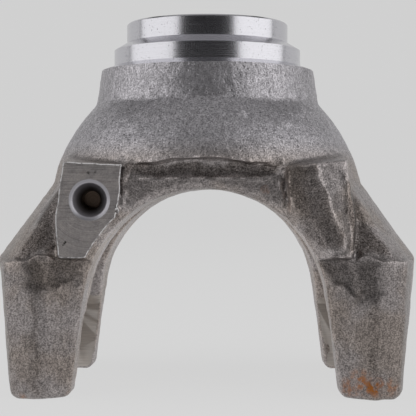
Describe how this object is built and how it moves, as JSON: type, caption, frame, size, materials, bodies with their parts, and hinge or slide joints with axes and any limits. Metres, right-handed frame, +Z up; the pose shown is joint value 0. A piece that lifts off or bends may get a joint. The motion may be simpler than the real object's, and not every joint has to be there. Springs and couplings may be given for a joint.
{
  "type": "weld-on forged yoke",
  "caption": "One-piece steel forging: turned tube pilot and weld bevel on a domed bell, with drafted channel arms round a wide arch and one milled pad with a locating hole.",
  "frame": {"origin": "centre of the rectangle that the part covers, in the plane of the leg ends that it stands on, on the axis of the hub", "axes": "+Z up along the hub's axis towards the tube pilot, +X across the two arms, +Y through the arch away from the milled pad"},
  "size_m": [0.1924, 0.1392, 0.1687],
  "materials": {
    "forged_yoke": "shot-blasted forging skin, with turned and milled faces on the hub, one pad and the slot walls"
  },
  "bodies": {
    "root": {"forged_yoke": "forged_yoke"}
  },
  "joints": []
}
